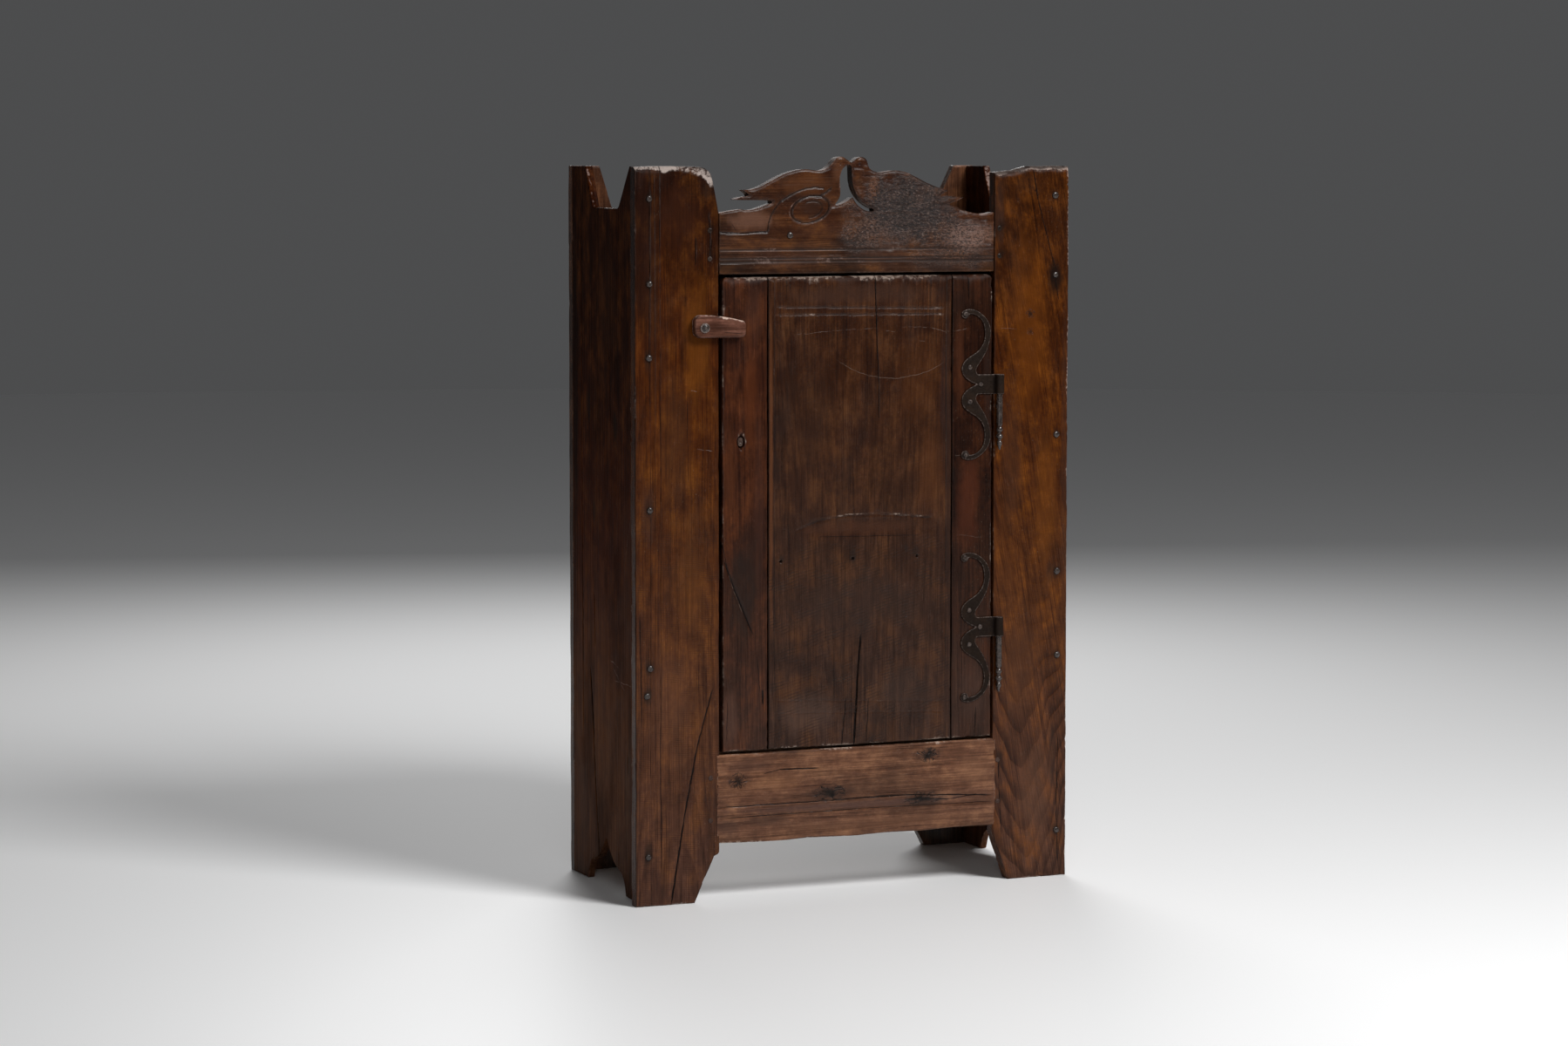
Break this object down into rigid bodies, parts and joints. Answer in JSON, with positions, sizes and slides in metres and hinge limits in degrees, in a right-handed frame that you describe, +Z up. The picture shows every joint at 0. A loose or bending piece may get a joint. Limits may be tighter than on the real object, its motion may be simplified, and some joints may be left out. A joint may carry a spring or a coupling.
{
  "type": "wooden cabinet",
  "caption": "Small farmhouse cupboard of hewn boards with horned stiles, splayed feet, a crest carved as kissing doves, shelves, a boarded door on forged hinges and a turn button.",
  "frame": {"origin": "on the floor, at the middle of the bounding box", "axes": "+X to the cabinet's right seen from the front, +Y to its back, +Z up"},
  "size_m": [0.7754, 0.3886, 1.215],
  "materials": {
    "front_wood": "old hewn boards with a worn brown surface",
    "side_wood": "dark, stained plank with knots",
    "door_wood": "reddish-brown boards, scuffed and cracked",
    "crest_wood": "carved board, rubbed smooth on one side",
    "inner_wood": "bare sawn boards",
    "peg_wood": "split pegs",
    "button_wood": "whittled block with rubbed edges",
    "forged_iron": "hand-forged iron, dark, rubbed at the edges"
  },
  "bodies": {
    "carcass": {"back_board_left": "inner_wood", "back_board_middle": "inner_wood", "back_board_nails": "forged_iron", "back_board_right": "inner_wood", "back_left_stile": "side_wood", "back_right_stile": "side_wood", "back_stile_nails": "forged_iron", "bottom_board": "inner_wood", "bottom_rail": "front_wood", "bottom_rail_pegs": "peg_wood", "crest_rail": "crest_wood", "crest_rail_nail": "forged_iron", "crest_rail_pegs": "peg_wood", "front_left_stile": "front_wood", "front_right_stile": "front_wood", "left_cleat_nails": "forged_iron", "left_side_board": "side_wood", "left_stile_nails": "forged_iron", "lower_hinge_pin": "forged_iron", "lower_left_cleat": "inner_wood", "lower_right_cleat": "inner_wood", "lower_shelf": "inner_wood", "right_cleat_nails": "forged_iron", "right_side_board": "side_wood", "right_stile_nails": "forged_iron", "top_board": "inner_wood", "turn_button_nail": "forged_iron", "upper_hinge_pin": "forged_iron", "upper_left_cleat": "inner_wood", "upper_right_cleat": "inner_wood", "upper_shelf": "inner_wood"},
    "door": {"lock_board": "door_wood", "centre_board": "door_wood", "hinge_board": "door_wood", "upper_batten": "inner_wood", "lower_batten": "inner_wood", "upper_batten_nails": "forged_iron", "lower_batten_nails": "forged_iron", "upper_hinge_strap": "forged_iron", "lower_hinge_strap": "forged_iron", "upper_hinge_nails": "forged_iron", "lower_hinge_nails": "forged_iron", "pull_peg_stub": "peg_wood"},
    "turn_button": {"turn_button": "button_wood"}
  },
  "joints": [
    {"name": "door_hinge", "type": "hinge", "parent": "carcass", "child": "door", "pos_m": [0.25675, -0.18195, 0.6315], "axis": [0, 0, 1], "range_deg": [0, 175]},
    {"name": "button_turn", "type": "hinge", "parent": "carcass", "child": "turn_button", "pos_m": [-0.27275, -0.18245, 0.939], "axis": [0, 1, 0], "continuous": true}
  ]
}
